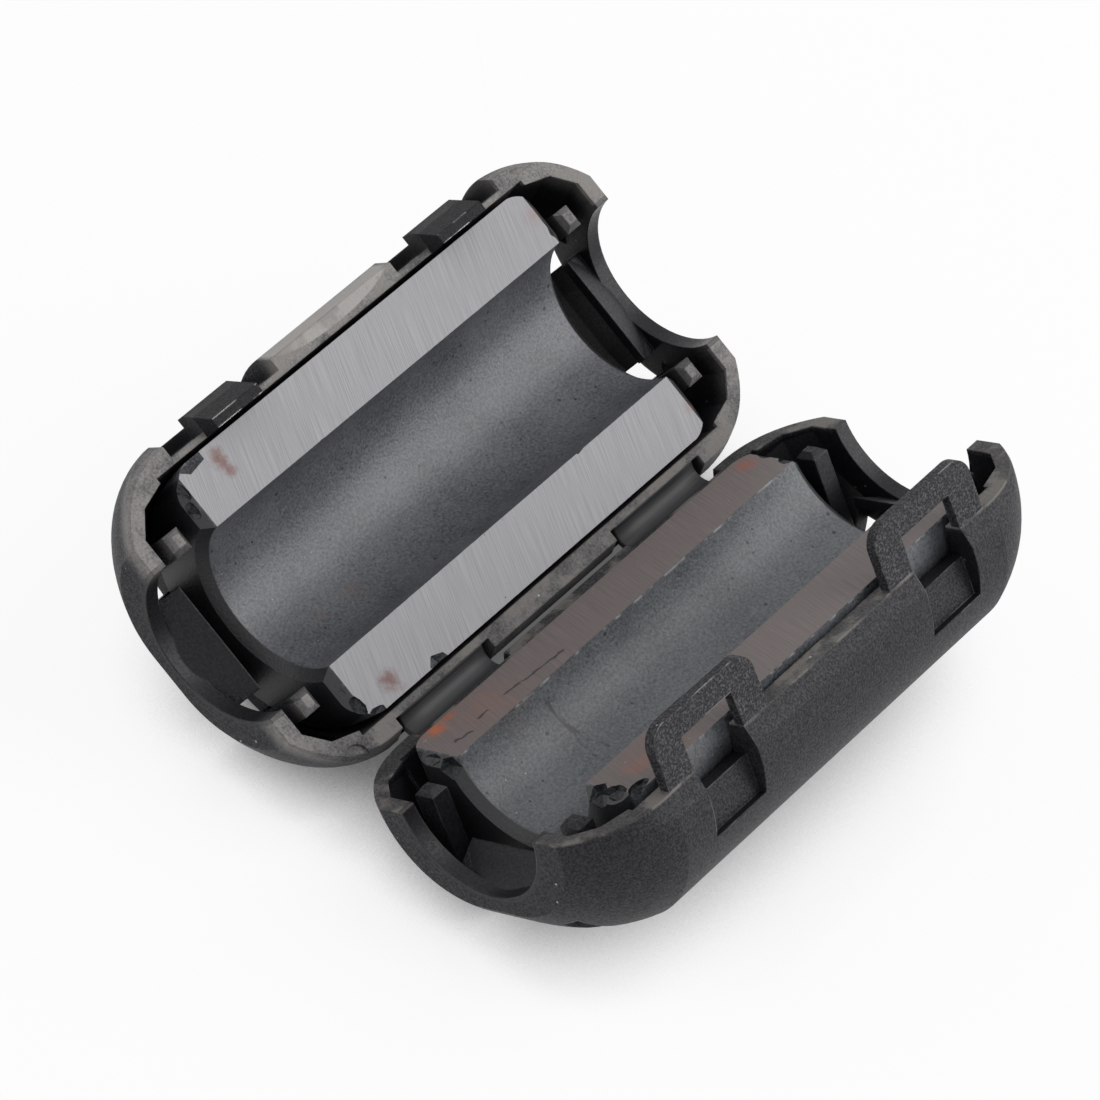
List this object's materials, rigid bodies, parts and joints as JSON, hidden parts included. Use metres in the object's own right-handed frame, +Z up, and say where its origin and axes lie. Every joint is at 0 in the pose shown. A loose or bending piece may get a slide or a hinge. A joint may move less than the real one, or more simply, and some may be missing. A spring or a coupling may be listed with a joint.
{
  "type": "clip-on ferrite bead",
  "caption": "Clip-on ferrite bead lying open: hinged plastic half cases hold ferrite sleeve halves that snap shut round a cable to damp radio noise.",
  "frame": {"origin": "on the surface it lies on, under the middle of the hinge line", "axes": "+X along the bead and the hinge line, +Y towards the half with the catches, +Z up"},
  "size_m": [0.036, 0.0366, 0.0173],
  "materials": {
    "case_plastic": "black polyamide with a fine spark-eroded mould texture",
    "hinge_plastic": "the same black polyamide, thin and smooth from the mould",
    "ferrite": "sintered grey ferrite ceramic, mating faces ground flat"
  },
  "bodies": {
    "base": {"base_shell": "case_plastic", "base_core": "ferrite", "near_hinge_strap": "hinge_plastic", "far_hinge_strap": "hinge_plastic"},
    "cover": {"cover_shell": "case_plastic", "cover_core": "ferrite"}
  },
  "joints": [
    {"name": "case_hinge", "type": "hinge", "parent": "base", "child": "cover", "pos_m": [0, 0, 0.00512], "axis": [1, 0, 0], "range_deg": [-119.5, 0], "deforming": ["near_hinge_strap", "far_hinge_strap"]}
  ]
}
